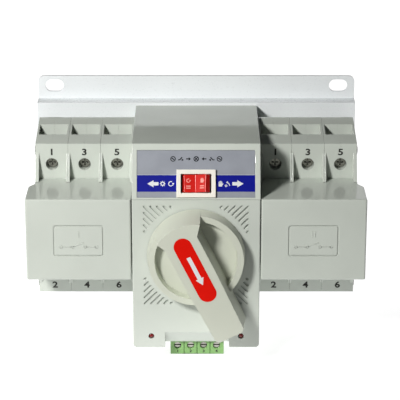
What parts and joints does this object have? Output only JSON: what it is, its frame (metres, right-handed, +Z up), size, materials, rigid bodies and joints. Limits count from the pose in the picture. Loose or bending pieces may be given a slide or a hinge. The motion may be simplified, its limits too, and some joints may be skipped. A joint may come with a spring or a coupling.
{
  "type": "transfer switch",
  "caption": "Dual-source transfer switch: two multi-pole breakers on a plate with a central drive unit, dial handle and mode rocker.",
  "frame": {"origin": "centre of the mounting slot pattern, on the back face of the plate's flanges", "axes": "+X along the plate's length, +Z up, +Y into the mounting panel so the front faces -Y"},
  "size_m": [0.1836, 0.1161, 0.1373],
  "materials": {
    "painted_plate": "satin powder coat",
    "zinc_steel": "zinc plated",
    "screw_steel": "zinc plated",
    "shell_plastic": "fine satin moulding",
    "breaker_plastic": "fine matt moulding",
    "label_print": "printed film",
    "bezel_plastic": "gloss",
    "rocker_red": "gloss",
    "brass": "plain",
    "label_red": "printed film",
    "drive_steel": "stamped",
    "gear_plastic": "moulded nylon",
    "motor_can": "plated can",
    "board_green": "solder mask",
    "relay_plastic": "moulded",
    "core_steel": "varnished laminations",
    "lamp_red": "tinted lens",
    "terminal_green": "moulded",
    "terminal_steel": "nickel plated",
    "toggle_plastic": "moulded",
    "copper": "copper",
    "chute_steel": "coppered splitters"
  },
  "bodies": {
    "root": {"base_plate": "painted_plate", "circuit_board": "board_green", "dial_panel": "shell_plastic", "din_rails": "zinc_steel", "guide_posts": "zinc_steel", "hood": "shell_plastic", "indicator_leds": "lamp_red", "label_plate": "label_print", "left_arc_chutes": "chute_steel", "left_breaker_left_half_shells": "breaker_plastic", "left_breaker_right_half_shells": "breaker_plastic", "left_fixed_contacts": "copper", "left_front_cover": "shell_plastic", "left_rivets": "screw_steel", "left_terminal_clamps": "terminal_steel", "left_terminal_screws": "terminal_steel", "left_trip_coils": "copper", "limit_switches": "relay_plastic", "lower_housing": "shell_plastic", "mechanism_plate": "zinc_steel", "mechanism_screws": "screw_steel", "motor": "motor_can", "plate_screws": "screw_steel", "relays": "relay_plastic", "right_arc_chutes": "chute_steel", "right_breaker_left_half_shells": "breaker_plastic", "right_breaker_right_half_shells": "breaker_plastic", "right_fixed_contacts": "copper", "right_front_cover": "shell_plastic", "right_rivets": "screw_steel", "right_terminal_clamps": "terminal_steel", "right_terminal_screws": "terminal_steel", "right_trip_coils": "copper", "rocker_bezel": "bezel_plastic", "rocker_terminals": "brass", "shaft_bush": "brass", "standoffs": "zinc_steel", "terminal_block": "terminal_green", "terminal_block_screws": "terminal_steel", "transformer": "core_steel"},
    "dial": {"handle": "shell_plastic", "handle_label": "label_red", "handle_screw": "screw_steel", "handle_shaft": "screw_steel", "drive_disc": "drive_steel", "shaft_circlip": "screw_steel", "main_gear": "gear_plastic"},
    "left_slider": {"left_slider": "drive_steel"},
    "right_slider": {"right_slider": "drive_steel"},
    "left_toggles": {"left_toggles": "toggle_plastic", "left_tie_bar": "screw_steel"},
    "right_toggles": {"right_toggles": "toggle_plastic", "right_tie_bar": "screw_steel"},
    "left_contacts": {"left_moving_contacts": "copper"},
    "right_contacts": {"right_moving_contacts": "copper"},
    "motor_rotor": {"motor_pinion": "gear_plastic"},
    "rocker": {"rocker_button": "rocker_red"},
    "left_clips": {"left_rail_clips": "toggle_plastic"},
    "right_clips": {"right_rail_clips": "toggle_plastic"}
  },
  "joints": [
    {"name": "handle_turn", "type": "hinge", "parent": "root", "child": "dial", "pos_m": [0, -0.1, -0.0093], "axis": [0, 1, 0], "range_deg": [0, 50]},
    {"name": "left_slider_travel", "type": "slide", "parent": "root", "child": "left_slider", "axis": [0, 0, 1], "range_m": [0, 0.0169]},
    {"name": "right_slider_travel", "type": "slide", "parent": "root", "child": "right_slider", "axis": [0, 0, 1], "range_m": [-0.0169, 0]},
    {"name": "left_toggle_tilt", "type": "hinge", "parent": "root", "child": "left_toggles", "pos_m": [0, -0.071, -0.001], "axis": [1, 0, 0], "range_deg": [-75, 0]},
    {"name": "right_toggle_tilt", "type": "hinge", "parent": "root", "child": "right_toggles", "pos_m": [0, -0.071, -0.001], "axis": [1, 0, 0], "range_deg": [0, 75]},
    {"name": "left_contact_swing", "type": "hinge", "parent": "root", "child": "left_contacts", "pos_m": [0, -0.056, 0.001], "axis": [1, 0, 0], "range_deg": [-20, 0]},
    {"name": "right_contact_swing", "type": "hinge", "parent": "root", "child": "right_contacts", "pos_m": [0, -0.056, 0.001], "axis": [1, 0, 0], "range_deg": [0, 20]},
    {"name": "motor_spin", "type": "hinge", "parent": "root", "child": "motor_rotor", "pos_m": [0, -0.07, 0.0167], "axis": [0, 1, 0], "range_deg": [-166.67, 0]},
    {"name": "rocker_tilt", "type": "hinge", "parent": "root", "child": "rocker", "pos_m": [0, -0.09286, 0.03011], "axis": [0, 0.4163, 0.9092], "range_deg": [0, 24]},
    {"name": "left_clip_release", "type": "slide", "parent": "root", "child": "left_clips", "axis": [0, 0, -1], "range_m": [0, 0.003], "stiffness_N_per_m": 900},
    {"name": "right_clip_release", "type": "slide", "parent": "root", "child": "right_clips", "axis": [0, 0, -1], "range_m": [0, 0.003], "stiffness_N_per_m": 900}
  ],
  "couplings": [
    {"joint": "left_slider_travel", "follows": "handle_turn", "m_per_rad": 0.01937},
    {"joint": "right_slider_travel", "follows": "handle_turn", "m_per_rad": -0.01937},
    {"joint": "left_toggle_tilt", "follows": "handle_turn", "ratio": -1.5},
    {"joint": "right_toggle_tilt", "follows": "handle_turn", "ratio": 1.5},
    {"joint": "left_contact_swing", "follows": "handle_turn", "ratio": -0.4},
    {"joint": "right_contact_swing", "follows": "handle_turn", "ratio": 0.4},
    {"joint": "motor_spin", "follows": "handle_turn", "ratio": -3.3333}
  ]
}
